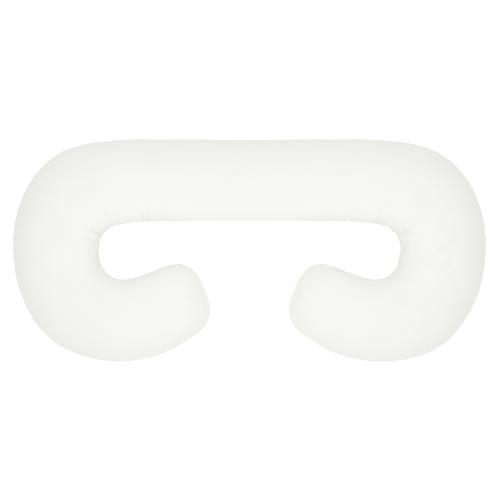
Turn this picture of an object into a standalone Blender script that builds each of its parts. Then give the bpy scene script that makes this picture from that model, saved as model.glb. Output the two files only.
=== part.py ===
"""A C-shaped body pillow, lying on its back: one stuffed solid with a seam all round its edge.

Two smooth seams run from tip to tip through a few stations, one round the outside and one round
the inside. A cushion section, crowned above and flat where it rests, stands between them and
closes in a blunt dome at each tip. The cloth is drawn in at the seams, and it is gathered into
folds at the inside of the two bends.

Units are metres and +Z is up. +Y is the side of the straight run, and the hooks curl back
towards the middle on the -Y side. The origin is on the floor, under the middle of the outline.
"""

import math

import bmesh
import bpy
import numpy as np

NODE_NAME = "body_pillow"
COLLECTION_NAME = "body_pillow_object"
COTTON_COLOUR = (0.89, 0.89, 0.875, 1.0)
COTTON_ROUGHNESS = 0.92

# The stuffed section.
SEAM_HEIGHT = 0.086  # the seam above the floor
BELLY_SHARE = 0.76  # depth below the seam, as a share of the half width, before the floor presses it flat
FULLNESS = 2.15  # exponent of the section's underside: 2 is an ellipse, more is squarer
PRESS_BLEND = 0.004  # over this height the belly rounds off into its flat resting face

# The seam groove.
GROOVE_DEPTH = 0.0038
GROOVE_HALF_HEIGHT = 0.008

# The blunt dome at each tip.
DOME_LENGTH = 0.119
DOME_FULLNESS = 2.8  # exponent of the tip's outline, seen from above
DOME_CROWN_FULLNESS = 2.2  # exponent of the tip's crown, seen from the side
DOME_RINGS = 10

# How finely the solid is divided.
ROUND_POINTS = 36
SEAM_CROWDING = 0.25  # draws a section's points towards the seam
LINE_SAMPLES = 4000

# The right half, from the middle of the straight run to the tip. The left half mirrors it.
# station name, x and y of the outer seam, x and y of the inner seam, crown height above the seams,
# fullness of the inner and of the outer shoulder, the section's quarters from a seam to the crown
STATIONS = (
    ("middle", 0.000, 0.336, 0.000, 0.086, 0.099, 2.60, 2.15),
    ("run", 0.160, 0.336, 0.160, 0.086, 0.101, 2.70, 2.15),
    ("run_end", 0.300, 0.336, 0.300, 0.086, 0.103, 2.90, 2.15),
    ("neck", 0.436, 0.330, 0.392, 0.078, 0.106, 3.00, 2.15),
    ("shoulder", 0.560, 0.299, 0.417, 0.069, 0.109, 2.90, 2.25),
    ("upper_side", 0.674, 0.180, 0.444, 0.047, 0.109, 2.60, 2.40),
    ("side", 0.710, 0.010, 0.454, 0.010, 0.106, 2.35, 2.45),
    ("lower_side", 0.675, -0.160, 0.451, -0.031, 0.104, 2.15, 2.40),
    ("elbow", 0.582, -0.279, 0.432, -0.065, 0.105, 2.10, 2.35),
    ("heel", 0.452, -0.330, 0.400, -0.084, 0.105, 2.10, 2.35),
    ("sole", 0.320, -0.328, 0.363, -0.084, 0.104, 2.10, 2.40),
    ("hook", 0.246, -0.305, 0.338, -0.077, 0.102, 2.15, 2.35),
    ("tip_start", 0.179, -0.267, 0.282, -0.057, 0.100, 2.15, 2.25),
    ("tip_end", 0.089, -0.220, 0.181, -0.004, 0.096, 2.15, 2.20),
)

# Distance between sections along the line midway between the seams: closest where the folds are.
# stretch name, distance from the middle, spacing
RING_SPACING = (
    ("middle", 0.00, 0.040),
    ("plain_run", 0.23, 0.030),
    ("first_folds", 0.27, 0.0085),
    ("into_bend", 0.46, 0.0095),
    ("round_bend", 0.52, 0.0150),
    ("out_of_bend", 0.70, 0.0180),
    ("heel", 0.85, 0.0270),
    ("tip", 1.20, 0.0250),
)

# The gathers and creases at the inside of the bends, each a soft trough with raised sides.
# fold name, x and y at the seam, x and y where it dies out, half width, depth
FOLDS = (
    ("left_run_dimple", -0.254, 0.088, -0.256, 0.124, 0.0080, 0.0014),
    ("left_run_tuck", -0.296, 0.088, -0.309, 0.140, 0.0065, 0.0030),
    ("left_run_tuck_pair", -0.315, 0.088, -0.322, 0.128, 0.0060, 0.0020),
    ("left_neck_dimple", -0.350, 0.086, -0.354, 0.112, 0.0070, 0.0014),
    ("left_neck_tuck", -0.393, 0.085, -0.424, 0.168, 0.0075, 0.0030),
    ("left_neck_crease", -0.414, 0.078, -0.446, 0.130, 0.0075, 0.0022),
    ("left_bend_crease", -0.451, 0.054, -0.490, 0.088, 0.0080, 0.0040),
    ("left_bend_gather", -0.456, 0.029, -0.508, 0.040, 0.0080, 0.0024),
    ("left_side_gather", -0.455, 0.004, -0.500, 0.004, 0.0085, 0.0018),
    ("right_run_tuck", 0.300, 0.088, 0.306, 0.146, 0.0065, 0.0028),
    ("right_run_tuck_pair", 0.283, 0.088, 0.284, 0.116, 0.0060, 0.0016),
    ("right_neck_dimple", 0.345, 0.086, 0.346, 0.112, 0.0070, 0.0014),
    ("right_neck_tuck", 0.382, 0.084, 0.394, 0.150, 0.0070, 0.0034),
    ("right_neck_tuck_pair", 0.400, 0.082, 0.414, 0.184, 0.0065, 0.0024),
    ("right_neck_crease", 0.434, 0.070, 0.430, 0.116, 0.0080, 0.0022),
    ("right_bend_crease", 0.449, 0.055, 0.502, 0.105, 0.0085, 0.0042),
    ("right_bend_gather", 0.458, 0.046, 0.520, 0.054, 0.0075, 0.0024),
    ("right_side_crease", 0.459, 0.022, 0.500, 0.024, 0.0075, 0.0020),
    ("right_side_hollow", 0.462, 0.010, 0.630, -0.062, 0.0180, 0.0055),
)
FOLD_HOLD = 0.35  # share of a fold's length over which it keeps its full depth
FOLD_UNDER = 0.030  # how far below the seam a fold fades out
FOLD_LEAD = 0.025  # how far before its start, out past the seam, a fold has faded in
SEAM_HOLD = 0.75  # the tight inner seam takes this share of a fold's depth away
SEAM_REACH = 0.010  # and it holds the cloth flat about this far round the section

# Where the filling bulges or is thin, besides the even crown.
# swell name, x, y, radius, height
SWELLS = (
    ("right_heel", 0.545, -0.305, 0.090, 0.0040),
    ("right_side_bulge", 0.635, 0.005, 0.050, 0.0040),
    ("middle_slack", 0.000, 0.300, 0.120, -0.0020),
)


def smooth_curve(places, values, at):
    """Values at the places `at` on the natural cubic spline through the rows of `values`."""
    count = len(places)
    gaps = np.diff(places)
    slopes = np.diff(values, axis=0) / gaps[:, None]
    system = np.eye(count)
    bend = np.zeros(values.shape)
    for row in range(1, count - 1):
        before, after = gaps[row - 1], gaps[row]
        system[row, row - 1 : row + 2] = before, 2.0 * (before + after), after
        bend[row] = 6.0 * (slopes[row] - slopes[row - 1])
    curvature = np.linalg.solve(system, bend)
    cell = np.clip(np.searchsorted(places, at) - 1, 0, count - 2)
    gap = gaps[cell][:, None]
    low = (places[cell + 1] - at)[:, None] / gap
    high = 1.0 - low
    straight = low * values[cell] + high * values[cell + 1]
    curved = (low**3 - low) * curvature[cell] + (high**3 - high) * curvature[cell + 1]
    return straight + curved * gap * gap / 6.0


def distance_along(points):
    """Distance from the first of the points to each of them, along the line through them all."""
    steps = np.linalg.norm(np.diff(points, axis=0), axis=1)
    return np.concatenate([[0.0], np.cumsum(steps)])


def right_seams():
    """The right half's seams: distance along the line midway between them, and the stations' columns."""
    right = np.array([station[1:] for station in STATIONS])
    left = right[:0:-1] * np.array([-1.0, 1.0, -1.0, 1.0, 1.0, 1.0, 1.0])
    whole = np.vstack([left, right])
    places = distance_along(0.5 * (whole[:, 0:2] + whole[:, 2:4]))
    places -= places[len(left)]
    seams = smooth_curve(places, whole, np.linspace(0.0, places[-1], LINE_SAMPLES))
    return distance_along(0.5 * (seams[:, 0:2] + seams[:, 2:4])), seams


def ring_distances(end):
    """Distances from the middle at which sections stand, up to `end`, spaced as RING_SPACING says."""
    fine = np.linspace(0.0, end, LINE_SAMPLES)
    spacing = np.interp(fine, [row[1] for row in RING_SPACING], [row[2] for row in RING_SPACING])
    steps = 0.5 * (1.0 / spacing[1:] + 1.0 / spacing[:-1]) * np.diff(fine)
    counted = np.concatenate([[0.0], np.cumsum(steps)])
    rings = round(counted[-1])
    return np.interp(np.linspace(0.0, counted[-1], rings + 1), counted, fine)


def superellipse(share, exponent):
    """Height, 0 to 1, of a superellipse's quarter at `share` of the way to its end."""
    return (1.0 - np.clip(share, 0.0, 1.0) ** exponent) ** (1.0 / exponent)


def right_sections():
    """The right half's sections: centre, way from it to the outer seam, crown, belly, shoulders."""
    distance, seams = right_seams()
    dome_start = distance[-1] - DOME_LENGTH
    dome_turn = np.arange(1, DOME_RINGS + 1) * (0.5 * math.pi / (DOME_RINGS + 1))
    into_dome = np.concatenate([np.sin(dome_turn) ** (2.0 / DOME_FULLNESS), [1.0]])
    body = ring_distances(dome_start)
    at = np.concatenate([body, dome_start + DOME_LENGTH * into_dome])
    seams = np.stack([np.interp(at, distance, column) for column in seams.T], axis=1)
    centre = 0.5 * (seams[:, 0:2] + seams[:, 2:4])
    outward = 0.5 * (seams[:, 0:2] - seams[:, 2:4])
    share = np.concatenate([np.zeros(len(body)), into_dome])
    side_view = superellipse(share, DOME_CROWN_FULLNESS)
    crown = seams[:, 4] * side_view
    belly = np.linalg.norm(outward, axis=1) * BELLY_SHARE * side_view
    outward *= superellipse(share, DOME_FULLNESS)[:, None]
    return centre, outward, crown, belly, seams[:, 5:7]


def section_outlines(shoulders):
    """Each section's points as shares of its half width and height, from the outer seam over the top."""
    turn = np.arange(ROUND_POINTS) * (2.0 * math.pi / ROUND_POINTS)
    turn = turn - SEAM_CROWDING * np.sin(2.0 * turn)
    shoulder = np.where(np.cos(turn) < 0.0, shoulders[:, 0:1], shoulders[:, 1:2])
    fullness = np.where(np.sin(turn) > 0.0, shoulder, FULLNESS)
    across = np.sign(np.cos(turn)) * np.abs(np.cos(turn)) ** (2.0 / fullness)
    up = np.sign(np.sin(turn)) * np.abs(np.sin(turn)) ** (2.0 / fullness)
    return across, up


def stuffed_grid():
    """The plain stuffed shape: sections by points round each, from the left tip to the right tip."""
    centre, outward, crown, belly, shoulders = right_sections()
    across, up = section_outlines(shoulders)
    plan = centre[:, None, :] + outward[:, None, :] * across[:, :, None]
    height = np.where(up > 0.0, crown[:, None] * up, belly[:, None] * up) + SEAM_HEIGHT
    right = np.dstack([plan, height])
    left = right[:0:-1] * np.array([-1.0, 1.0, 1.0])
    return np.vstack([left, right])


def outward_normals(grid):
    """Unit normals of the grid's surface, from the differences between neighbouring points."""
    along = np.gradient(grid, axis=0)
    around = np.roll(grid, -1, axis=1) - np.roll(grid, 1, axis=1)
    normals = np.cross(around, along)
    for tip, sign in ((0, -1.0), (-1, 1.0)):
        inner = 1 if tip == 0 else -2
        heading = grid[tip].mean(axis=0) - grid[inner].mean(axis=0)
        normals[tip] = heading / np.linalg.norm(heading)
    return normals / np.linalg.norm(normals, axis=2)[:, :, None]


def eased(share):
    """0 at or before 0, 1 at or after 1, and an even S-curve between."""
    share = np.clip(share, 0.0, 1.0)
    return share * share * (3.0 - 2.0 * share)


def inner_seam_hold(grid):
    """Share of a fold's depth that the inner seam leaves, by the distance from it round the section."""
    steps = np.linalg.norm(np.roll(grid, -1, axis=1) - grid, axis=2)
    travelled = np.cumsum(steps, axis=1) - steps
    inner_seam = travelled[:, ROUND_POINTS // 2][:, None]
    away = (travelled - inner_seam) / SEAM_REACH
    return 1.0 - SEAM_HOLD * np.exp(-away * away)


def fold_relief(grid):
    """How far the folds move each point along its normal."""
    relief = np.zeros(grid.shape[:2])
    below_seam = np.clip(SEAM_HEIGHT - grid[:, :, 2], 0.0, None)
    fade_under = np.exp(-((below_seam / FOLD_UNDER) ** 2))
    for _name, start_x, start_y, end_x, end_y, half_width, depth in FOLDS:
        run = np.array([end_x - start_x, end_y - start_y])
        length = np.linalg.norm(run)
        run /= length
        reach = grid[:, :, :2] - np.array([start_x, start_y])
        along = reach @ run / length
        across = reach @ np.array([-run[1], run[0]]) / half_width
        hold = eased(along * length / FOLD_LEAD + 1.0) * eased((1.0 - along) / (1.0 - FOLD_HOLD))
        trough = (across * across - 1.0) * np.exp(-0.5 * across * across)
        relief += depth * trough * hold * fade_under
    return relief * inner_seam_hold(grid)


def swell_relief(grid):
    """How far the filling's bulges and thin places move each point along its normal."""
    relief = np.zeros(grid.shape[:2])
    for _name, x, y, radius, height in SWELLS:
        away = np.hypot(grid[:, :, 0] - x, grid[:, :, 1] - y) / radius
        relief += height * np.exp(-away * away)
    return relief


def pillow_grid():
    """The finished surface: stuffed, swelled, folded, grooved at the seam and pressed on the floor."""
    grid = stuffed_grid()
    from_seam = (grid[:, :, 2] - SEAM_HEIGHT) / GROOVE_HALF_HEIGHT
    relief = fold_relief(grid) + swell_relief(grid) - GROOVE_DEPTH * np.exp(-from_seam * from_seam)
    grid = grid + outward_normals(grid) * relief[:, :, None]
    height = grid[:, :, 2]
    near_floor = np.clip(height, -PRESS_BLEND, PRESS_BLEND) + PRESS_BLEND
    pressed = near_floor * near_floor / (4.0 * PRESS_BLEND)
    grid[:, :, 2] = np.where(height > PRESS_BLEND, height, pressed)
    outline = grid[:, :, :2].reshape(-1, 2)
    grid[:, :, :2] -= 0.5 * (outline.min(axis=0) + outline.max(axis=0))
    return grid


def loft(grid, mesh):
    """Fills `mesh` with the skin over the grid's sections, closed by a point at each tip."""
    work = bmesh.new()
    rings = [[work.verts.new(point) for point in ring] for ring in grid[1:-1]]
    tips = [work.verts.new(grid[end].mean(axis=0)) for end in (0, -1)]
    for ring, following in zip(rings, rings[1:]):
        for here in range(ROUND_POINTS):
            after = (here + 1) % ROUND_POINTS
            work.faces.new((ring[here], ring[after], following[after], following[here]))
    for here in range(ROUND_POINTS):
        after = (here + 1) % ROUND_POINTS
        work.faces.new((tips[0], rings[0][after], rings[0][here]))
        work.faces.new((tips[1], rings[-1][here], rings[-1][after]))
    work.to_mesh(mesh)
    work.free()
    mesh.shade_smooth()


def cotton():
    """Plain white cotton."""
    material = bpy.data.materials.new("white_cotton")
    material.use_nodes = True
    surface = material.node_tree.nodes["Principled BSDF"]
    surface.inputs["Base Color"].default_value = COTTON_COLOUR
    surface.inputs["Roughness"].default_value = COTTON_ROUGHNESS
    surface.inputs["Metallic"].default_value = 0.0
    return material


def main():
    for leftover in list(bpy.data.objects):
        bpy.data.objects.remove(leftover, do_unlink=True)
    collection = bpy.data.collections.new(COLLECTION_NAME)
    bpy.context.scene.collection.children.link(collection)
    mesh = bpy.data.meshes.new(NODE_NAME)
    loft(pillow_grid(), mesh)
    mesh.materials.append(cotton())
    collection.objects.link(bpy.data.objects.new(NODE_NAME, mesh))


main()
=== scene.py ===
import math

import bpy
import numpy as np
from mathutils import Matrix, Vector


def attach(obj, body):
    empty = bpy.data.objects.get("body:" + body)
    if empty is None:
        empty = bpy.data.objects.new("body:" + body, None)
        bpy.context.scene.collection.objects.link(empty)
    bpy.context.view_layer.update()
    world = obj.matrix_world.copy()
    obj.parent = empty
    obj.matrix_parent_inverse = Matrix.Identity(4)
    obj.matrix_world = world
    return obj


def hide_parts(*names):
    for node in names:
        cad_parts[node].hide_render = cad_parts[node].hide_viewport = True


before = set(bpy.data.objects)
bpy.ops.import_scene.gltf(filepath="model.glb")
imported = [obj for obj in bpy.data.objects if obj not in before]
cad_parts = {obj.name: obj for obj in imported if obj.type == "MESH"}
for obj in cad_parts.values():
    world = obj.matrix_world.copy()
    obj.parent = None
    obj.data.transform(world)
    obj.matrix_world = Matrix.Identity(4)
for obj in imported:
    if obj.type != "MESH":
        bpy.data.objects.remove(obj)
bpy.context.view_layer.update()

# A C-shaped body pillow lying on its back, in metres. The straight run is along X, the hooks
# curl back on the -Y side, and Z is up from the floor.

pillow = {
    # the right half from the middle to the tip: station, x and y of the outer seam, x and y of
    # the inner seam, crown above the seams, fullness of the inner and of the outer shoulder
    "stations": [
        ("middle", 0.000, 0.336, 0.000, 0.086, 0.099, 2.75, 2.15),
        ("run", 0.160, 0.336, 0.160, 0.086, 0.101, 2.95, 2.15),
        ("runEnd", 0.300, 0.336, 0.300, 0.086, 0.103, 3.20, 2.15),
        ("neck", 0.436, 0.330, 0.392, 0.078, 0.106, 3.40, 2.15),
        ("shoulder", 0.560, 0.299, 0.417, 0.069, 0.109, 3.20, 2.25),
        ("upperSide", 0.674, 0.180, 0.444, 0.047, 0.109, 2.70, 2.40),
        ("side", 0.710, 0.010, 0.454, 0.010, 0.106, 2.35, 2.45),
        ("lowerSide", 0.675, -0.160, 0.451, -0.031, 0.104, 2.15, 2.40),
        ("elbow", 0.582, -0.279, 0.432, -0.065, 0.105, 2.10, 2.35),
        ("heel", 0.452, -0.330, 0.400, -0.084, 0.105, 2.10, 2.35),
        ("sole", 0.320, -0.328, 0.363, -0.084, 0.104, 2.10, 2.40),
        ("hook", 0.246, -0.305, 0.338, -0.077, 0.102, 2.15, 2.35),
        ("tipStart", 0.179, -0.267, 0.282, -0.057, 0.100, 2.15, 2.25),
        ("tipEnd", 0.089, -0.220, 0.181, -0.004, 0.096, 2.15, 2.20),
    ],
    "seamHeight": 0.086,
    "bellyShare": 0.76,         # depth below the seam as a share of the half width, unpressed
    "fullness": 2.15,           # the exponent of the section's underside, 2 is an ellipse
    "pressBlend": 0.004,        # height over which the belly rounds off into its resting face
    "domeLength": 0.119,
    "domeFullness": 2.8,        # the tip seen from above
    "domeCrownFullness": 2.2,   # the tip seen from the side
    "domeRings": 9,
    "roundPoints": 68,          # points round a section before doubling
    "seamCrowding": 0.22,       # draws a section's points towards the seam
    "lineSamples": 4000,
    # stretch, distance from the middle, distance between sections before doubling
    "ringSpacing": [
        ("middle", 0.00, 0.0160),
        ("plainRun", 0.19, 0.0120),
        ("firstFolds", 0.235, 0.0035),
        ("neck", 0.42, 0.0038),
        ("bend", 0.50, 0.0058),
        ("side", 0.72, 0.0070),
        ("outOfBend", 0.80, 0.0100),
        ("heel", 0.90, 0.0125),
        ("tip", 1.20, 0.0105),
    ],
    "grooveDepth": 0.0038,
    "grooveHalfHeight": 0.008,
    "stitchDepth": 0.0012,      # the line where the panels meet, at the bottom of the groove
    "stitchHalfHeight": 0.0025,
    "reliefCap": 0.010,         # where folds meet, their depths add up to no more than this
}


def distanceAlong(points):
    steps = np.linalg.norm(np.diff(points, axis=0), axis=1)
    return np.concatenate([[0], np.cumsum(steps)])


def smoothCurve(places, values, at):
    # natural cubic spline: the second derivative is nought at both ends, and the slopes agree
    # from cell to cell
    count = len(places)
    gaps = np.diff(places)
    slopes = np.diff(values, axis=0) / gaps[:, None]
    system = np.eye(count)
    bend = np.zeros(values.shape)
    for row in range(1, count - 1):
        before, after = gaps[row - 1], gaps[row]
        system[row, row - 1:row + 2] = before, 2 * (before + after), after
        bend[row] = 6 * (slopes[row] - slopes[row - 1])
    curvature = np.linalg.solve(system, bend)
    cell = np.clip(np.searchsorted(places, at) - 1, 0, count - 2)
    gap = gaps[cell][:, None]
    low = (places[cell + 1] - at)[:, None] / gap
    high = 1 - low
    straight = low * values[cell] + high * values[cell + 1]
    curved = (low**3 - low) * curvature[cell] + (high**3 - high) * curvature[cell + 1]
    return straight + curved * gap * gap / 6


def rightSeams():
    # both seams as splines over the distance along the line midway between them
    right = np.array([row[1:] for row in pillow["stations"]])
    left = right[:0:-1] * [-1, 1, -1, 1, 1, 1, 1]
    whole = np.vstack([left, right])
    places = distanceAlong((whole[:, 0:2] + whole[:, 2:4]) / 2)
    places -= places[len(left)]
    seams = smoothCurve(places, whole, np.linspace(0, places[-1], pillow["lineSamples"]))
    return distanceAlong((seams[:, 0:2] + seams[:, 2:4]) / 2), seams


def ringDistances(end):
    # one section for each unit of the running sum of 1 / spacing
    fine = np.linspace(0, end, pillow["lineSamples"])
    rows = pillow["ringSpacing"]
    spacing = np.interp(fine, [row[1] for row in rows], [row[2] for row in rows])
    steps = (1 / spacing[1:] + 1 / spacing[:-1]) / 2 * np.diff(fine)
    counted = np.concatenate([[0], np.cumsum(steps)])
    return np.interp(np.linspace(0, counted[-1], round(counted[-1]) + 1), counted, fine)


def superellipse(share, exponent):
    # height of a quarter superellipse: (1 - share^n)^(1/n)
    return (1 - np.clip(share, 0, 1)**exponent)**(1 / exponent)


def stuffedGrid():
    # a superellipse section stands between the seams: across = cos^(2/n), up = sin^(2/n), times
    # the half width and the crown or belly, and both close as superellipses over each tip's dome
    distance, seams = rightSeams()
    domeStart = distance[-1] - pillow["domeLength"]
    rings = pillow["domeRings"]
    turnIn = np.arange(1, rings + 1) * (math.pi / 2 / (rings + 1))
    intoDome = np.concatenate([np.sin(turnIn)**(2 / pillow["domeFullness"]), [1]])
    straight = ringDistances(domeStart)
    at = np.concatenate([straight, domeStart + pillow["domeLength"] * intoDome])
    seams = np.stack([np.interp(at, distance, column) for column in seams.T], axis=1)
    centre = (seams[:, 0:2] + seams[:, 2:4]) / 2
    outward = (seams[:, 0:2] - seams[:, 2:4]) / 2
    halfWidth = np.linalg.norm(outward, axis=1)
    share = np.concatenate([np.zeros(len(straight)), intoDome])
    sideView = superellipse(share, pillow["domeCrownFullness"])
    crown = seams[:, 4] * sideView
    belly = halfWidth * pillow["bellyShare"] * sideView
    outward *= superellipse(share, pillow["domeFullness"])[:, None]
    turn = np.arange(pillow["roundPoints"]) * (2 * math.pi / pillow["roundPoints"])
    turn = turn - pillow["seamCrowding"] * np.sin(2 * turn)
    shoulder = np.where(np.cos(turn) < 0, seams[:, 5, None], seams[:, 6, None])
    fullness = np.where(np.sin(turn) > 0, shoulder, pillow["fullness"])
    across = np.sign(np.cos(turn)) * np.abs(np.cos(turn))**(2 / fullness)
    up = np.sign(np.sin(turn)) * np.abs(np.sin(turn))**(2 / fullness)
    plan = centre[:, None, :] + outward[:, None, :] * across[:, :, None]
    height = np.where(up > 0, crown[:, None] * up, belly[:, None] * up) + pillow["seamHeight"]
    right = np.dstack([plan, height])
    left = right[:0:-1] * [-1, 1, 1]
    return np.vstack([left, right]), np.concatenate([-at[:0:-1], at])


def doubled(grid):
    # a new point halfway between neighbours is 9/16 of each less 1/16 of each next one out,
    # first round the section, then along, going straight on over the tip to its far side
    around = (9 * (grid + np.roll(grid, -1, 1)) - np.roll(grid, 1, 1) - np.roll(grid, -2, 1)) / 16
    both = np.stack([grid, around], axis=2).reshape(len(grid), -1, grid.shape[2])
    half = both.shape[1] // 2
    before = np.roll(both[1:2], half, axis=1)
    after = np.roll(both[-2:-1], half, axis=1)
    longer = np.concatenate([before, both, after])
    between = (9 * (longer[1:-2] + longer[2:-1]) - longer[:-3] - longer[3:]) / 16
    out = np.empty((2 * len(both) - 1, *both.shape[1:]))
    out[0::2] = both
    out[1::2] = between
    return out


def normalsOf(grid):
    # cross product of the differences round and along; at a tip, straight out of it
    normals = np.cross(np.roll(grid, -1, 1) - np.roll(grid, 1, 1), np.gradient(grid, axis=0))
    for tip, inner in ((0, 1), (-1, -2)):
        normals[tip] = grid[tip].mean(axis=0) - grid[inner].mean(axis=0)
    return normals / np.linalg.norm(normals, axis=2)[:, :, None]


def eased(share):
    # S-curve from 0 to 1: 3 s^2 - 2 s^3
    share = np.clip(share, 0, 1)
    return share * share * (3 - 2 * share)


folds = {
    # fold, x and y at the seam, x and y where it dies out, half width, depth
    "broad": [
        ("leftRunDimple", -0.254, 0.088, -0.256, 0.124, 0.0080, 0.0006),
        ("leftRunTuck", -0.296, 0.088, -0.309, 0.140, 0.0065, 0.0011),
        ("leftRunTuckPair", -0.315, 0.088, -0.322, 0.128, 0.0060, 0.0008),
        ("leftNeckDimple", -0.350, 0.086, -0.354, 0.112, 0.0070, 0.0006),
        ("leftNeckTuck", -0.393, 0.085, -0.424, 0.168, 0.0075, 0.0012),
        ("leftNeckCrease", -0.414, 0.078, -0.446, 0.130, 0.0075, 0.0010),
        ("leftBendCrease", -0.451, 0.054, -0.490, 0.088, 0.0080, 0.0022),
        ("leftBendGather", -0.456, 0.029, -0.508, 0.040, 0.0080, 0.0011),
        ("leftSideGather", -0.455, 0.004, -0.500, 0.004, 0.0085, 0.0008),
        ("rightRunTuck", 0.300, 0.088, 0.306, 0.146, 0.0065, 0.0010),
        ("rightRunTuckPair", 0.283, 0.088, 0.284, 0.116, 0.0060, 0.0007),
        ("rightNeckDimple", 0.345, 0.086, 0.346, 0.112, 0.0070, 0.0006),
        ("rightNeckTuck", 0.382, 0.084, 0.394, 0.150, 0.0070, 0.0013),
        ("rightNeckTuckPair", 0.400, 0.082, 0.414, 0.184, 0.0065, 0.0010),
        ("rightNeckCrease", 0.434, 0.070, 0.430, 0.116, 0.0080, 0.0014),
        ("rightBendCrease", 0.449, 0.055, 0.502, 0.105, 0.0085, 0.0026),
        ("rightBendGather", 0.458, 0.046, 0.520, 0.054, 0.0075, 0.0014),
        ("rightSideCrease", 0.459, 0.022, 0.500, 0.024, 0.0075, 0.0011),
        ("rightSideHollow", 0.462, 0.010, 0.630, -0.062, 0.0180, 0.0055),
    ],
    # the same columns, then lean (how much higher the side on its left stands) and bow (how far
    # its middle swings to its left)
    "sharp": [
        ("leftBendLine", -0.452, 0.052, -0.487, 0.081, 0.0022, 0.0024, -0.9, 0.001),
        ("leftNeckLine", -0.397, 0.088, -0.409, 0.122, 0.0020, 0.0010, -0.8, 0.000),
        ("leftNeckFan", -0.405, 0.084, -0.428, 0.122, 0.0026, 0.0009, 0.4, 0.002),
        ("leftNeckLong", -0.420, 0.104, -0.434, 0.172, 0.0032, 0.0008, 0.5, 0.001),
        ("leftRunLine", -0.294, 0.088, -0.307, 0.130, 0.0020, 0.0013, 0.8, 0.000),
        ("leftRunRidge", -0.306, 0.090, -0.313, 0.156, 0.0022, -0.0011, 0.0, 0.000),
        ("leftRunLinePair", -0.313, 0.090, -0.319, 0.122, 0.0020, 0.0010, -0.6, 0.000),
        ("leftStreak", -0.457, 0.036, -0.487, 0.031, 0.0024, 0.0015, 0.3, 0.000),
        ("leftLowStreak", -0.457, 0.014, -0.482, 0.016, 0.0024, 0.0008, 0.2, 0.000),
        ("rightRunLine", 0.303, 0.088, 0.298, 0.124, 0.0020, 0.0012, -0.8, 0.000),
        ("rightRunRidge", 0.309, 0.090, 0.308, 0.146, 0.0022, -0.0011, 0.0, 0.000),
        ("rightNeckLine", 0.381, 0.086, 0.388, 0.126, 0.0020, 0.0014, -0.8, 0.000),
        ("rightNeckLinePair", 0.398, 0.082, 0.400, 0.106, 0.0020, 0.0011, 0.7, 0.000),
        ("rightNeckLong", 0.395, 0.098, 0.406, 0.174, 0.0030, 0.0008, -0.5, 0.000),
        ("rightBendLine", 0.452, 0.053, 0.508, 0.107, 0.0025, 0.0030, 0.9, -0.003),
        ("rightBendThin", 0.458, 0.050, 0.516, 0.058, 0.0021, 0.0015, 0.5, 0.000),
        ("rightSideDash", 0.461, 0.025, 0.496, 0.025, 0.0022, 0.0024, 0.3, 0.000),
        ("rightSeamMark", 0.464, 0.008, 0.466, -0.018, 0.0022, 0.0011, 0.0, 0.000),
        ("rightSlackCrease", 0.561, 0.010, 0.620, 0.041, 0.0048, 0.0017, 0.3, -0.002),
        ("rightSlackLine", 0.566, -0.006, 0.604, 0.008, 0.0042, 0.0012, -0.3, 0.000),
        ("rightHollowNotch", 0.512, -0.003, 0.530, -0.010, 0.0042, 0.0018, 0.5, 0.000),
        ("rightHollowEnd", 0.578, -0.036, 0.606, -0.062, 0.0060, 0.0024, 0.6, 0.000),
    ],
    "hold": 0.35,     # share of a fold's length over which it keeps its full depth
    "under": 0.030,   # how far below the seam a fold fades out
    "lead": 0.025,    # how far before its start, out past the seam, a fold has faded in
    "sharpLead": 0.010,
    "flare": 0.8,     # how much a sharp fold widens towards its end
    "seamHold": 0.75,  # the tight seam takes this share of a fold's depth away
    "seamReach": 0.010,
}

swells = {
    # where the filling bulges or is thin: swell, x, y, radius, height
    "broad": [
        ("rightHeel", 0.545, -0.305, 0.090, 0.0040),
        ("rightSideBulge", 0.635, 0.005, 0.050, 0.0040),
        ("middleSlack", 0.000, 0.300, 0.120, -0.0020),
    ],
    # small lumps and dents in the right side's slack cloth
    "small": [
        ("upperLump", 0.582, 0.039, 0.013, 0.0044),
        ("upperDent", 0.608, 0.036, 0.012, -0.0038),
        ("middleDent", 0.557, 0.006, 0.008, -0.0032),
        ("middleLump", 0.570, -0.008, 0.012, 0.0032),
        ("outerDent", 0.594, -0.014, 0.010, -0.0030),
        ("lowLump", 0.614, -0.034, 0.018, 0.0040),
        ("footLump", 0.590, -0.115, 0.020, 0.0036),
    ],
}


def foldRelief(grid, rows, lead, flare=0.0):
    # across a fold, at q half widths from its line: (q^2 - 1 + lean q) exp(-q^2 / 2); along it,
    # an S-curve in and an S-curve out; below the seam it fades as exp(-(depth / under)^2)
    relief = np.zeros(grid.shape[:2])
    belowSeam = np.clip(pillow["seamHeight"] - grid[:, :, 2], 0, None)
    fadeUnder = np.exp(-(belowSeam / folds["under"])**2)
    for _name, x0, y0, x1, y1, halfWidth, depth, *shape in rows:
        lean, bow = shape or (0, 0)
        run = np.array([x1 - x0, y1 - y0])
        length = np.linalg.norm(run)
        run /= length
        reach = grid[:, :, :2] - [x0, y0]
        along = reach @ run / length
        inside = np.clip(along, 0, 1)
        across = reach @ np.array([-run[1], run[0]]) - bow * 4 * inside * (1 - inside)
        across /= halfWidth * (1 + flare * inside)
        hold = eased(along * length / lead + 1) * eased((1 - along) / (1 - folds["hold"]))
        trough = (across**2 - 1 + lean * across) * np.exp(-across**2 / 2)
        relief += depth * trough * hold * fadeUnder
    return relief


def swellRelief(grid, rows):
    # a bell: height times exp(-(distance / radius)^2)
    relief = np.zeros(grid.shape[:2])
    for _name, x, y, radius, height in rows:
        away = np.hypot(grid[:, :, 0] - x, grid[:, :, 1] - y) / radius
        relief += height * np.exp(-away * away)
    return relief


def pressed(grid):
    # the floor: heights near nought bend up in a parabola, and what would lie lower is flat
    blend = pillow["pressBlend"]
    height = grid[:, :, 2]
    near = np.clip(height, -blend, blend) + blend
    grid[:, :, 2] = np.where(height > blend, height, near * near / (4 * blend))
    return grid


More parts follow.
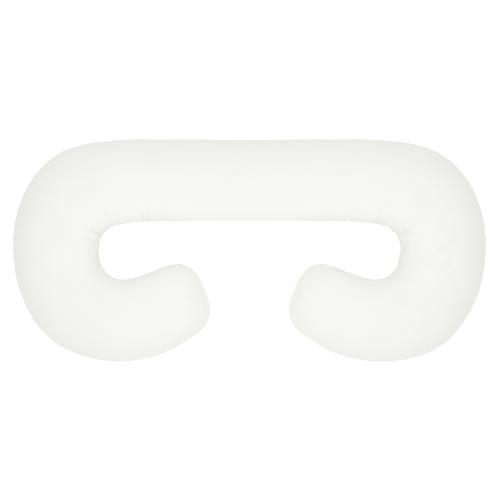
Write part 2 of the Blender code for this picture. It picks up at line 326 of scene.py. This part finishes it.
def gridFaces(rings, points):
    # quads between neighbouring rings, wound to face outwards; the first and last ring are one
    # point each
    inner = rings - 2
    ring, point = np.meshgrid(np.arange(inner - 1), np.arange(points), indexing="ij")
    after = (point + 1) % points
    quads = np.stack([ring * points + point, ring * points + after,
                      (ring + 1) * points + after, (ring + 1) * points + point], axis=-1)
    here = np.arange(points)
    there = (here + 1) % points
    last = (inner - 1) * points
    firstTip, lastTip = inner * points, inner * points + 1
    caps = [np.stack([np.full(points, firstTip), there, here], axis=-1),
            np.stack([np.full(points, lastTip), last + here, last + there], axis=-1)]
    return quads.reshape(-1, 4), np.vstack(caps)


def gridPoints(grid):
    # the grid's rings in a row, with the two tips last
    tips = np.stack([grid[0].mean(axis=0), grid[-1].mean(axis=0)])
    return np.vstack([grid[1:-1].reshape(-1, grid.shape[2]), tips])


def gridMesh(name, grid):
    quads, caps = gridFaces(*grid.shape[:2])
    mesh = bpy.data.meshes.new(name)
    mesh.from_pydata(gridPoints(grid).tolist(), [], quads.tolist() + caps.tolist())
    mesh.update()
    return mesh


cloth = {
    "inset": 0.005,       # how much smaller the pillow starts
    "pressure": 4.0,
    "frames": 20,
    "steps": 7,
    "tension": 15.0,
    "shear": 5.0,
    "bending": 0.4,
    "seamPull": 0.02,     # the inner seam's thread is this much shorter than the panels
    "bendSpare": 0.06,    # spare cloth at the inside of the bends
    "spareFrom": 0.22,    # distance from the middle where the spare cloth begins
    "spareTo": 0.80,      # and where it ends
    "spareFade": 0.14,
    "spareSide": (0.35, 1.2),   # level and swing of the spare cloth round a section
    "settle": 0.05,       # wrinkles are what is left after a mean over this much of the length
    "cap": 0.003,         # no wrinkle moves a point further than this
    "elsewhere": 0.15,    # share of the wrinkles kept away from the inside of the bends
}


def innerBend(points, along):
    # 1 on the inside of the bends, from the seam to the crown, and 0 elsewhere: round a section
    # it is the S-curve of level - swing cos(turn), and the turn starts at the outer seam
    turn = np.arange(points) * (2 * math.pi / points)
    level, swing = cloth["spareSide"]
    side = eased(level - swing * np.cos(turn))
    away = np.abs(along)
    begin = eased((away - cloth["spareFrom"]) / cloth["spareFade"])
    end = eased((cloth["spareTo"] - away) / cloth["spareFade"])
    return (begin * end)[:, None] * side[None, :]


def swelledByCloth(start, along):
    # the pillow starts a little small and the cloth swells under pressure with no gravity; in the
    # vertex group 0 gives the most spare cloth and 1 the tightest thread
    trial = bpy.data.objects.new("clothTrial", gridMesh("clothTrial", start))
    bpy.context.scene.collection.objects.link(trial)
    points = start.shape[1]
    inside = innerBend(points, along)
    neutral = cloth["bendSpare"] / (cloth["bendSpare"] + cloth["seamPull"])
    weights = neutral * (1 - inside)
    seam = points // 2
    weights[:, seam] = neutral + (1 - neutral) * inside[:, seam]
    weights = np.round(gridPoints(weights[:, :, None])[:, 0], 2)
    group = trial.vertex_groups.new(name="thread")
    for step in np.unique(weights):
        group.add(np.flatnonzero(weights == step).tolist(), float(step), "REPLACE")
    sim = trial.modifiers.new("Cloth", "CLOTH")
    rules = sim.settings
    rules.quality = cloth["steps"]
    rules.tension_stiffness = rules.compression_stiffness = cloth["tension"]
    rules.shear_stiffness = cloth["shear"]
    rules.bending_stiffness = cloth["bending"]
    rules.use_pressure = True
    rules.uniform_pressure_force = cloth["pressure"]
    rules.vertex_group_shrink = "thread"
    rules.shrink_min = -cloth["bendSpare"]
    rules.shrink_max = cloth["seamPull"]
    rules.effector_weights.gravity = 0
    sim.collision_settings.use_collision = False
    sim.point_cache.frame_start = 1
    sim.point_cache.frame_end = cloth["frames"]
    scene = bpy.context.scene
    for step in range(1, cloth["frames"] + 1):
        scene.frame_set(step)
    result = trial.evaluated_get(bpy.context.evaluated_depsgraph_get()).to_mesh()
    moved = np.empty(len(result.vertices) * 3)
    result.vertices.foreach_get("co", moved)
    moved = moved.reshape(-1, 3)
    scene.frame_set(1)
    bpy.data.objects.remove(trial, do_unlink=True)
    swelled = np.empty(start.shape)
    swelled[1:-1] = moved[:-2].reshape(len(start) - 2, points, 3)
    swelled[0], swelled[-1] = moved[-2], moved[-1]
    return swelled


def clothWrinkles(plain, along):
    # how far the cloth's movement takes each point along its normal, less the movement's own
    # bell-weighted mean along the length, and held below the cap by cap * tanh(height / cap)
    normals = normalsOf(plain)
    sink = foldRelief(plain, folds["broad"], folds["lead"]) - cloth["inset"]
    start = plain + normals * sink[:, :, None]
    height = ((swelledByCloth(start, along) - start) * normals).sum(axis=2)
    apart = (along[:, None] - along[None, :]) / cloth["settle"]
    bell = np.exp(-apart**2 / 2) * np.gradient(along)
    bell /= bell.sum(axis=1)[:, None]
    height -= bell @ height
    height = cloth["cap"] * np.tanh(height / cloth["cap"])
    height *= cloth["elsewhere"] + (1 - cloth["elsewhere"]) * innerBend(plain.shape[1], along)
    lowest, highest = round(float(height.min()), 4), round(float(height.max()), 4)
    print("cloth wrinkles from", lowest, "to", highest)
    return height


gathers = {
    "seed": 11,
    "pitch": 0.012,       # distance from one pucker to the next
    "pitchSpread": 0.35,  # how uneven that is, as a share of the pitch
    "depth": (0.0003, 0.0007),
    "halfWidth": (0.0022, 0.0040),
    "reach": (0.010, 0.030),   # how far from the seam a pucker dies out
    "slant": 0.35,        # metres along for each metre from the seam, at most
    "from": 0.24,         # distance from the middle where they are at their fullest
    "to": 0.52,
    "fade": 0.10,
    "quietShare": 0.2,    # depth elsewhere
    "tipFade": 0.05,
}


def gatherRelief(seamLength, fromSeam, along):
    # small puckers that start at the inner seam: -depth exp(-(along / half width)^2 / 2) times
    # exp(-(distance from the seam / reach)^2), each leaning a little
    draw = np.random.default_rng(gathers["seed"])
    count = int(seamLength[-1] / gathers["pitch"])
    places = (np.arange(count) + 0.5) * gathers["pitch"]
    places += draw.normal(0, gathers["pitch"] * gathers["pitchSpread"], count)
    depths = draw.uniform(*gathers["depth"], count)
    widths = draw.uniform(*gathers["halfWidth"], count)
    reaches = draw.uniform(*gathers["reach"], count)
    slants = draw.uniform(-gathers["slant"], gathers["slant"], count)
    relief = np.zeros(fromSeam.shape)
    # past six half widths a pucker is too low to count
    for place, depth, width, reach, slant in zip(places, depths, widths, reaches, slants):
        near = np.abs(seamLength - place) < 6 * width + 2 * reach * gathers["slant"]
        across = (seamLength[near][:, None] - place - slant * fromSeam[near]) / width
        relief[near] -= depth * np.exp(-across**2 / 2 - (fromSeam[near] / reach)**2)
    away = np.abs(along)
    loud = eased((away - gathers["from"]) / gathers["fade"] + 1)
    loud *= eased((gathers["to"] - away) / gathers["fade"] + 1)
    loud = gathers["quietShare"] + (1 - gathers["quietShare"]) * loud
    loud *= eased((along[-1] - pillow["domeLength"] - away) / gathers["tipFade"])
    return relief * loud[:, None]


unevenness = {
    "seed": 5,
    "waves": 48,
    "length": (0.055, 0.170),  # the shortest and the longest wave
    "height": 0.0008,
    "clear": 0.07,             # it fades out this near to a seam
}


def unevenRelief(grid):
    # plain waves in random directions, summed: height sqrt(2 / count) cos(k . p + phase)
    draw = np.random.default_rng(unevenness["seed"])
    count = unevenness["waves"]
    ways = draw.normal(size=(3, count))
    ways /= np.linalg.norm(ways, axis=0)
    ways *= 2 * math.pi / draw.uniform(*unevenness["length"], count)
    phases = draw.uniform(0, 2 * math.pi, count)
    return unevenness["height"] * math.sqrt(2 / count) * np.cos(grid @ ways + phases).sum(axis=2)


def seamDistances(grid):
    # distance along the surface from the outer seam and from the inner seam
    steps = np.linalg.norm(np.roll(grid, -1, 1) - grid, axis=2)
    travelled = np.cumsum(steps, axis=1) - steps
    girth = steps.sum(axis=1)[:, None]
    inner = travelled[:, grid.shape[1] // 2][:, None]
    return np.minimum(travelled, girth - travelled), np.abs(travelled - inner)


plainGrid, ringAt = stuffedGrid()
print("stuffed grid", plainGrid.shape)
wrinkles = clothWrinkles(plainGrid, ringAt)
fineGrid = doubled(np.dstack([plainGrid, wrinkles]))
fineGrid, relief = fineGrid[:, :, :3], fineGrid[:, :, 3]
fineAt = np.interp(np.arange(len(fineGrid)) / 2, np.arange(len(ringAt)), ringAt)
fromOuter, fromInner = seamDistances(fineGrid)
fromSeam = np.minimum(fromOuter, fromInner)
fromSeamLevel = fineGrid[:, :, 2] - pillow["seamHeight"]
lengthSteps = np.linalg.norm(np.diff(fineGrid, axis=0, prepend=fineGrid[:1]), axis=2)
lengthAlong = np.cumsum(lengthSteps, axis=0)
innerSeamLength = lengthAlong[:, fineGrid.shape[1] // 2]

relief += foldRelief(fineGrid, folds["broad"], folds["lead"])
relief += foldRelief(fineGrid, folds["sharp"], folds["sharpLead"], folds["flare"])
relief *= 1 - folds["seamHold"] * np.exp(-(fromInner / folds["seamReach"])**2)
relief += swellRelief(fineGrid, swells["broad"] + swells["small"])
relief += gatherRelief(innerSeamLength, fromInner, fineAt)
relief += unevenRelief(fineGrid) * eased(fromSeam / unevenness["clear"])
relief -= pillow["grooveDepth"] * np.exp(-(fromSeamLevel / pillow["grooveHalfHeight"])**2)
relief -= pillow["stitchDepth"] * np.exp(-(fromSeamLevel / pillow["stitchHalfHeight"])**2)
relief = pillow["reliefCap"] * np.tanh(relief / pillow["reliefCap"])
fineGrid = pressed(fineGrid + normalsOf(fineGrid) * relief[:, :, None])
outline = fineGrid[:, :, :2].reshape(-1, 2)
fineGrid[:, :, :2] -= (outline.min(axis=0) + outline.max(axis=0)) / 2
print("fine grid", fineGrid.shape, "triangles", 2 * (len(fineGrid) - 2) * fineGrid.shape[1])

cotton = {
    "colour": (0.880, 0.880, 0.859, 1),
    "shade": (0.856, 0.856, 0.833, 1),    # the darker of the cloth's faint clouds
    # painted shade: a darker tone along the seam, broken at the stitches' pitch, stands for the
    # shade in the fine groove where the panels meet
    "seamGrooveShade": (0.78, 0.78, 0.76, 1),
    "seamShadeHalfWidth": 0.0011,
    "stitchPitch": 0.0030,
    "roughness": 0.9,
    "shine": 0.3,
    "sheen": 0.20,
    "sheenRoughness": 0.5,
    "cloudScale": 14.0,       # noise cells for each metre
    "cloudDetail": 4,
    "cloudShift": -0.2,       # takes the clouds towards the lighter colour
    "crumpleScale": 55.0,
    "crumpleDetail": 3,
    "crumpleHeight": 0.0002,
    "slubScale": (70.0, 900.0),   # cells for each metre along a thread and across it
    "slubDetail": 2,
    "threadPitch": 0.00036,
    "threadHeight": 0.000015,
    "threadStrength": 0.6,
}


def addNode(tree, kind, values=None, **settings):
    node = tree.nodes.new(kind)
    for name, value in settings.items():
        setattr(node, name, value)
    for socket, value in (values or {}).items():
        node.inputs[socket].default_value = value
    return node


def maths(tree, operation, *values):
    node = addNode(tree, "ShaderNodeMath", operation=operation)
    for socket, value in enumerate(values):
        if isinstance(value, (int, float)):
            node.inputs[socket].default_value = value
        else:
            tree.links.new(value, node.inputs[socket])
    return node.outputs[0]


def noise(tree, vector, scale, detail, stretch=None):
    if stretch:
        mapping = addNode(tree, "ShaderNodeMapping", {"Scale": stretch})
        tree.links.new(vector, mapping.inputs["Vector"])
        vector = mapping.outputs["Vector"]
    node = addNode(tree, "ShaderNodeTexNoise", {"Scale": scale, "Detail": detail})
    tree.links.new(vector, node.inputs["Vector"])
    return node.outputs["Fac"]


def mixed(tree, share, first, second):
    # sockets 6 and 7 are the two colours, and output 2 the mixed one
    node = addNode(tree, "ShaderNodeMix", data_type="RGBA")
    tree.links.new(share, node.inputs["Factor"])
    for socket, value in ((node.inputs[6], first), (node.inputs[7], second)):
        if isinstance(value, tuple):
            socket.default_value = value
        else:
            tree.links.new(value, socket)
    return node.outputs[2]


def makeCotton():
    # plain weave from two crossed sines along the threads, slubs from noise stretched along each
    # set of threads, faint clouds and crumples from noise in the pillow's own space
    material = bpy.data.materials.new("whiteCotton")
    material.use_nodes = True
    tree = material.node_tree
    shader = tree.nodes["Principled BSDF"]
    place = addNode(tree, "ShaderNodeTexCoord").outputs["Object"]
    thread = addNode(tree, "ShaderNodeAttribute", attribute_name="thread").outputs["Vector"]
    split = addNode(tree, "ShaderNodeSeparateXYZ")
    tree.links.new(thread, split.inputs[0])
    along, seam = split.outputs["X"], split.outputs["Y"]

    turns = 2 * math.pi / cotton["threadPitch"]
    warp = maths(tree, "SINE", maths(tree, "MULTIPLY", along, turns))
    weft = maths(tree, "SINE", maths(tree, "MULTIPLY", seam, turns))
    weave = maths(tree, "MULTIPLY", warp, weft)
    coarse, fine = cotton["slubScale"]
    slubs = maths(tree, "ADD", noise(tree, thread, 1, cotton["slubDetail"], (coarse, fine, 1)),
                  noise(tree, thread, 1, cotton["slubDetail"], (fine, coarse, 1)))
    threads = maths(tree, "ADD", weave, slubs)
    crumple = noise(tree, place, cotton["crumpleScale"], cotton["crumpleDetail"])

    # painted shade: the colour darkens in a narrow line along the seam, at the stitches' pitch,
    # for the shade of its fine groove
    fromLine = {"From Min": 0, "From Max": cotton["seamShadeHalfWidth"], "To Min": 1, "To Max": 0}
    nearSeamShade = addNode(tree, "ShaderNodeMapRange", fromLine)
    tree.links.new(seam, nearSeamShade.inputs["Value"])
    stitchTurns = 2 * math.pi / cotton["stitchPitch"]
    stitchShade = maths(tree, "SINE", maths(tree, "MULTIPLY", along, stitchTurns))
    seamShadeLine = maths(tree, "MULTIPLY", nearSeamShade.outputs[0],
                     maths(tree, "MULTIPLY_ADD", stitchShade, 0.5, 0.5))

    drift = noise(tree, place, cotton["cloudScale"], cotton["cloudDetail"])
    clouds = maths(tree, "ADD", drift, cotton["cloudShift"])
    cloudy = mixed(tree, clouds, cotton["colour"], cotton["shade"])
    coloured = mixed(tree, seamShadeLine, cloudy, cotton["seamGrooveShade"])
    tree.links.new(coloured, shader.inputs["Base Color"])
    rough = addNode(tree, "ShaderNodeBump", {"Distance": cotton["crumpleHeight"], "Strength": 1.0})
    tree.links.new(crumple, rough.inputs["Height"])
    relief = {"Distance": cotton["threadHeight"], "Strength": cotton["threadStrength"]}
    woven = addNode(tree, "ShaderNodeBump", relief)
    tree.links.new(threads, woven.inputs["Height"])
    tree.links.new(rough.outputs["Normal"], woven.inputs["Normal"])
    tree.links.new(woven.outputs["Normal"], shader.inputs["Normal"])
    shader.inputs["Roughness"].default_value = cotton["roughness"]
    shader.inputs["Specular IOR Level"].default_value = cotton["shine"]
    shader.inputs["Sheen Weight"].default_value = cotton["sheen"]
    shader.inputs["Sheen Roughness"].default_value = cotton["sheenRoughness"]
    return material


body = bpy.data.objects.new("pillow", gridMesh("pillow", fineGrid))
bpy.context.scene.collection.objects.link(body)
body.data.shade_smooth()
threads = np.dstack([lengthAlong, fromSeam, np.zeros(fromSeam.shape)])
attribute = body.data.attributes.new("thread", "FLOAT_VECTOR", "POINT")
attribute.data.foreach_set("vector", gridPoints(threads).ravel())
body.data.materials.append(makeCotton())
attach(body, "root")
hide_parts("body_pillow")
print("pillow built")

studio = {
    "floorSize": 24.0,
    # the floor is what the camera sees, and the table is what gives light back to the pillow
    "floorColour": (0.9, 0.9, 0.9, 1),
    "floorGlow": 0.6,
    "tableColour": (0.86, 0.86, 0.81, 1),
    "tableGlow": 0.05,
    "tableDrop": 0.001,
    "backdropRadius": 11.0,
    "backdropRings": 16,
    "backdropPoints": 48,
    "backdropGap": 0.01,   # the angle left open at the very top
    "backdropColour": (0, 0, 0, 1),
    "backdropGlow": 1.0,
    "lens": 85.0,
    "sensor": 36.0,
    "viewWidth": 1.508,    # how much of the seam's level the picture spans
    "viewCentre": (0.0015, 0.0012),
    "worldStrength": 0.868,
    # softbox, width, watts, x, y, z; each one faces the middle of the floor
    "softboxes": [
        ("front", 1.5, 8.0, 0.0, -2.6, 1.2),
        ("leftBack", 1.5, 4.9, -1.8, 1.8, 2.2),
        ("rightBack", 1.5, 4.9, 1.8, 1.8, 2.2),
        ("leftFill", 0.5, 0.32, -0.35, 0.0, 0.7),
        ("rightFill", 0.5, 0.32, 0.35, 0.0, 0.7),
    ],
    # weak panels that lie inside the C and face up: panel, width, length, watts, x, y
    "panels": [
        ("leftPanel", 0.26, 0.08, 0.05, -0.29, 0.0),
        ("rightPanel", 0.26, 0.08, 0.05, 0.29, 0.0),
        ("mouthPanel", 0.12, 0.16, 0.06, 0.0, -0.09),
    ],
    "panelHeight": 0.004,
}


def addStage(name, mesh, colour, glow, seenBy):
    # a matt piece of the studio; seenBy names the kinds of ray that meet it
    stage = bpy.data.objects.new(name, mesh)
    bpy.context.scene.collection.objects.link(stage)
    for ray in ("camera", "diffuse", "glossy", "transmission", "volume_scatter", "shadow"):
        setattr(stage, "visible_" + ray, ray in seenBy)
    paint = bpy.data.materials.new(name)
    paint.use_nodes = True
    shader = paint.node_tree.nodes["Principled BSDF"]
    shader.inputs["Base Color"].default_value = colour
    shader.inputs["Roughness"].default_value = 1
    shader.inputs["Specular IOR Level"].default_value = 0
    shader.inputs["Emission Color"].default_value = (1, 1, 1, 1)
    shader.inputs["Emission Strength"].default_value = glow
    mesh.materials.append(paint)


def flatMesh(name, height):
    side = studio["floorSize"] / 2
    mesh = bpy.data.meshes.new(name)
    ways = ((-1, -1), (1, -1), (1, 1), (-1, 1))
    corners = [(side * x, side * y, height) for x, y in ways]
    mesh.from_pydata(corners, [], [(0, 1, 2, 3)])
    return mesh


def domeMesh(name):
    # a half sphere over the floor, facing in: radius cos(up), radius sin(up)
    rings, points = studio["backdropRings"], studio["backdropPoints"]
    up, turn = np.meshgrid(np.linspace(0, math.pi / 2 - studio["backdropGap"], rings),
                           np.arange(points) * (2 * math.pi / points), indexing="ij")
    dome = studio["backdropRadius"] * np.stack(
        [np.cos(up) * np.cos(turn), np.cos(up) * np.sin(turn), np.sin(up)], axis=2)
    ring, point = np.meshgrid(np.arange(rings - 1), np.arange(points), indexing="ij")
    after = (point + 1) % points
    quads = np.stack([ring * points + point, (ring + 1) * points + point,
                      (ring + 1) * points + after, ring * points + after], axis=-1)
    mesh = bpy.data.meshes.new(name)
    mesh.from_pydata(dome.reshape(-1, 3).tolist(), [], quads.reshape(-1, 4).tolist())
    return mesh


def makeSoftbox(name, width, length, power, place, facing):
    data = bpy.data.lights.new(name, "AREA")
    data.shape = "RECTANGLE"
    data.size = width
    data.size_y = length
    data.energy = power
    lamp = bpy.data.objects.new(name, data)
    lamp.location = place
    lamp.rotation_euler = Vector(facing).to_track_quat("-Z", "Y").to_euler()
    lamp.visible_camera = False
    bpy.context.scene.collection.objects.link(lamp)


def makeCamera():
    data = bpy.data.cameras.new("camera")
    data.lens = studio["lens"]
    data.sensor_width = studio["sensor"]
    camera = bpy.data.objects.new("camera", data)
    height = pillow["seamHeight"] + studio["viewWidth"] * studio["lens"] / studio["sensor"]
    camera.location = (*studio["viewCentre"], height)
    bpy.context.scene.collection.objects.link(camera)
    bpy.context.scene.camera = camera


addStage("floor", flatMesh("floor", 0), studio["floorColour"], studio["floorGlow"], ("camera",))
addStage("table", flatMesh("table", -studio["tableDrop"]), studio["tableColour"],
         studio["tableGlow"], ("diffuse", "glossy", "shadow"))
addStage("backdrop", domeMesh("backdrop"), studio["backdropColour"], studio["backdropGlow"],
         ("camera",))
makeCamera()
for lampName, width, power, *place in studio["softboxes"]:
    makeSoftbox(lampName, width, width, power, place, -Vector(place))
for lampName, width, length, power, x, y in studio["panels"]:
    makeSoftbox(lampName, width, length, power, (x, y, studio["panelHeight"]), (0, 0, 1))
world = bpy.data.worlds.new("studio")
world.use_nodes = True
world.node_tree.nodes["Background"].inputs["Color"].default_value = (1, 1, 1, 1)
world.node_tree.nodes["Background"].inputs["Strength"].default_value = studio["worldStrength"]
bpy.context.scene.world = world
bpy.context.scene.view_settings.view_transform = "Standard"
print("studio lit")
